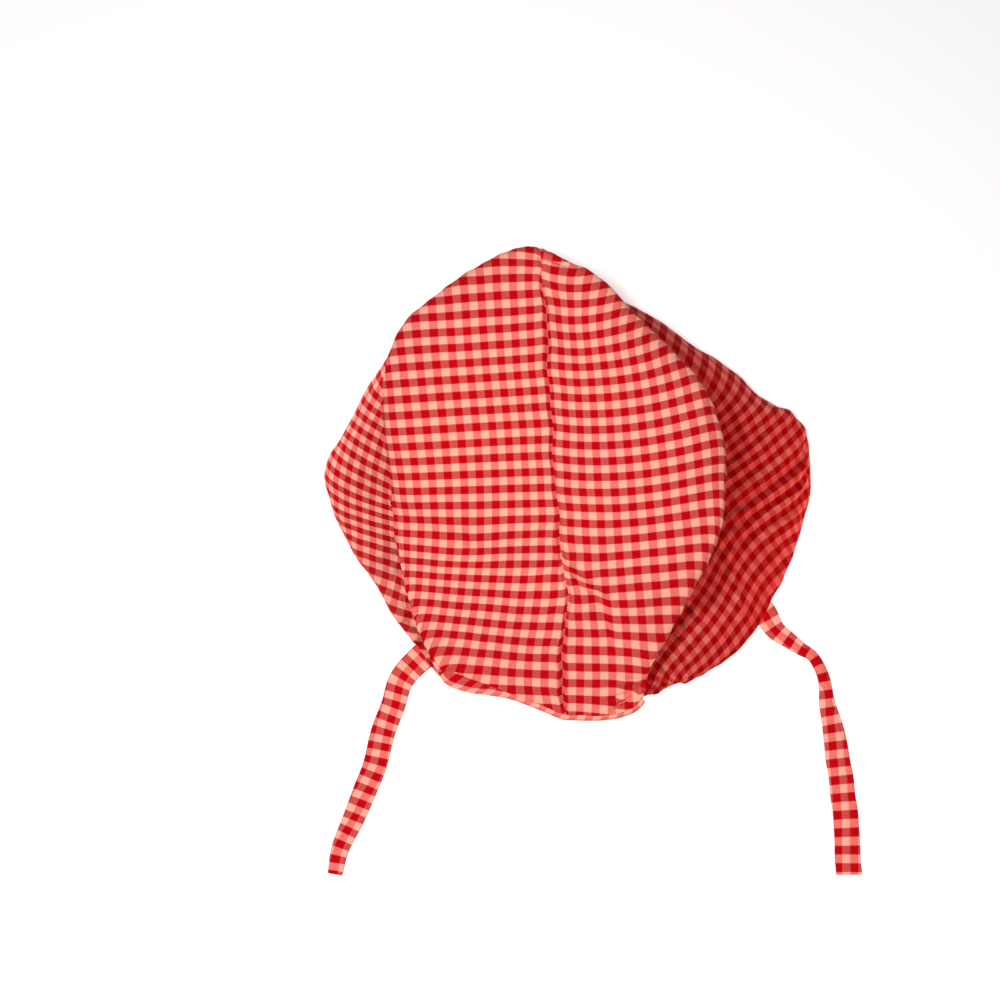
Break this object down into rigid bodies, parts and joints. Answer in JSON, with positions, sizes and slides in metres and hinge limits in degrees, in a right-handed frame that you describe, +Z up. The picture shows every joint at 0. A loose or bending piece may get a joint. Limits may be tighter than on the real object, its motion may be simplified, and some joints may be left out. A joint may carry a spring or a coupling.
{
  "type": "sunbonnet",
  "caption": "Child's soft gingham sunbonnet lying crown up, with a domed two-panel crown, a wide flared brim, a faced neck edge and flat cloth ties; shades the head and neck",
  "frame": {"origin": "the middle of the bonnet's footprint, ties included, on the surface that it lies on", "axes": "+Z up out of the crown, +Y from the neck edge to the forehead, +X to the right in the picture"},
  "size_m": [0.3354, 0.3906, 0.088],
  "materials": {
    "crown_cloth": "matt woven red and cream check",
    "brim_cloth": "matt woven red and cream check",
    "hem_cloth": "matt woven red and cream check, cut on the bias",
    "tie_cloth": "matt woven red and cream check"
  },
  "bodies": {
    "root": {"crown_left": "crown_cloth", "crown_right": "crown_cloth", "brim": "brim_cloth", "neck_hem": "hem_cloth", "tie_left": "tie_cloth", "tie_right": "tie_cloth"}
  },
  "joints": []
}
